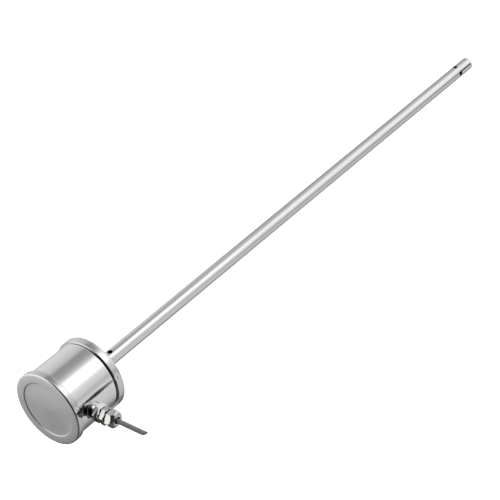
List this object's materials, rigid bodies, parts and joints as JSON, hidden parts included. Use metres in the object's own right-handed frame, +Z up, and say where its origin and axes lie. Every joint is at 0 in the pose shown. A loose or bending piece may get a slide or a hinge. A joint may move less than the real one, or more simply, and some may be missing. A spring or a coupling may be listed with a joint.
{
  "type": "liquid level probe",
  "caption": "Rod-type liquid level probe: a round steel head with a screw cover and cable gland on a long vented sensing tube.",
  "frame": {"origin": "centre of the base flange's underside, where the process thread meets the flange", "axes": "+Z up along the tube towards the cover, +X along the cable gland towards the cable"},
  "size_m": [0.153, 0.0848, 0.7967],
  "materials": {
    "polished_steel": "mirror polished stainless steel",
    "satin_steel": "fine turned satin stainless steel",
    "nickel_plate": "bright nickel plated brass",
    "brass": "plain turned brass",
    "black_rubber": "smooth black rubber",
    "white_ptfe": "waxy white PTFE",
    "grey_pvc": "matt grey PVC jacket",
    "board_green": "green solder mask",
    "green_plastic": "moulded green plastic",
    "blue_plastic": "moulded blue plastic",
    "black_plastic": "moulded black plastic",
    "wire_red": "red PVC insulation",
    "wire_black": "black PVC insulation",
    "wire_blue": "blue PVC insulation",
    "wire_yellow": "yellow PVC insulation",
    "wire_green": "green PVC insulation"
  },
  "bodies": {
    "probe": {"base_flange": "satin_steel", "base_gasket": "black_rubber", "drum_shell": "polished_steel", "outer_tube": "polished_steel", "electrode_rod": "satin_steel", "rod_sleeve": "black_plastic", "spacer_1": "white_ptfe", "spacer_2": "white_ptfe", "spacer_3": "white_ptfe", "spacer_4": "white_ptfe", "end_plug": "black_plastic", "insulator_bush": "white_ptfe", "packing_nut": "satin_steel", "insulating_washer": "white_ptfe", "plain_washer": "satin_steel", "ring_terminal": "brass", "electrode_nut": "satin_steel", "electrode_lead": "wire_red", "gland_washer": "black_rubber", "gland_body": "nickel_plate", "gland_ring": "black_rubber", "gland_seal": "black_rubber", "cable_outside": "grey_pvc", "cable_inside": "grey_pvc", "cable_core_1": "wire_red", "cable_core_2": "wire_black", "cable_core_3": "wire_blue", "cable_core_4": "wire_yellow", "standoff_1": "brass", "standoff_2": "brass", "standoff_3": "brass", "circuit_board": "board_green", "board_screw_1": "satin_steel", "board_screw_2": "satin_steel", "board_screw_3": "satin_steel", "terminal_block": "green_plastic", "terminal_screw_1": "nickel_plate", "terminal_screw_2": "nickel_plate", "terminal_screw_3": "nickel_plate", "terminal_screw_4": "nickel_plate", "controller_chip": "black_plastic", "smoothing_capacitor": "black_plastic", "filter_inductor": "black_plastic", "zero_trimmer_case": "blue_plastic", "span_trimmer_case": "blue_plastic", "earth_lug": "brass", "earth_screw": "satin_steel", "earth_lead": "wire_green"},
    "cover_seat": {"cover_gasket": "black_rubber"},
    "cover": {"screw_cover": "satin_steel"},
    "gland_clamp_seat": {"gland_clamp": "black_plastic"},
    "gland_dome": {"gland_nut": "nickel_plate"},
    "zero_rotor": {"zero_trimmer_rotor": "brass"},
    "span_rotor": {"span_trimmer_rotor": "brass"}
  },
  "joints": [
    {"name": "cover_lift", "type": "slide", "parent": "probe", "child": "cover_seat", "axis": [0, 0, 1], "range_m": [0, 0.0046]},
    {"name": "cover_turn", "type": "hinge", "parent": "cover_seat", "child": "cover", "pos_m": [0, 0, 0.066], "axis": [0, 0, 1], "range_deg": [0, 1080]},
    {"name": "gland_nut_travel", "type": "slide", "parent": "probe", "child": "gland_clamp_seat", "axis": [1, 0, 0], "range_m": [0, 0.0061]},
    {"name": "gland_nut_turn", "type": "hinge", "parent": "gland_clamp_seat", "child": "gland_dome", "pos_m": [0.067, 0, 0.0454], "axis": [1, 0, 0], "range_deg": [0, 1440]},
    {"name": "zero_adjust", "type": "hinge", "parent": "probe", "child": "zero_rotor", "pos_m": [-0.018, 0.007, 0.039], "axis": [0, 0, 1], "range_deg": [-135, 135]},
    {"name": "span_adjust", "type": "hinge", "parent": "probe", "child": "span_rotor", "pos_m": [-0.018, -0.007, 0.039], "axis": [0, 0, 1], "range_deg": [-135, 135]}
  ],
  "couplings": [
    {"joint": "cover_lift", "follows": "cover_turn", "m_per_rad": 0.00023873},
    {"joint": "gland_nut_travel", "follows": "gland_nut_turn", "m_per_rad": 0.00023873}
  ]
}
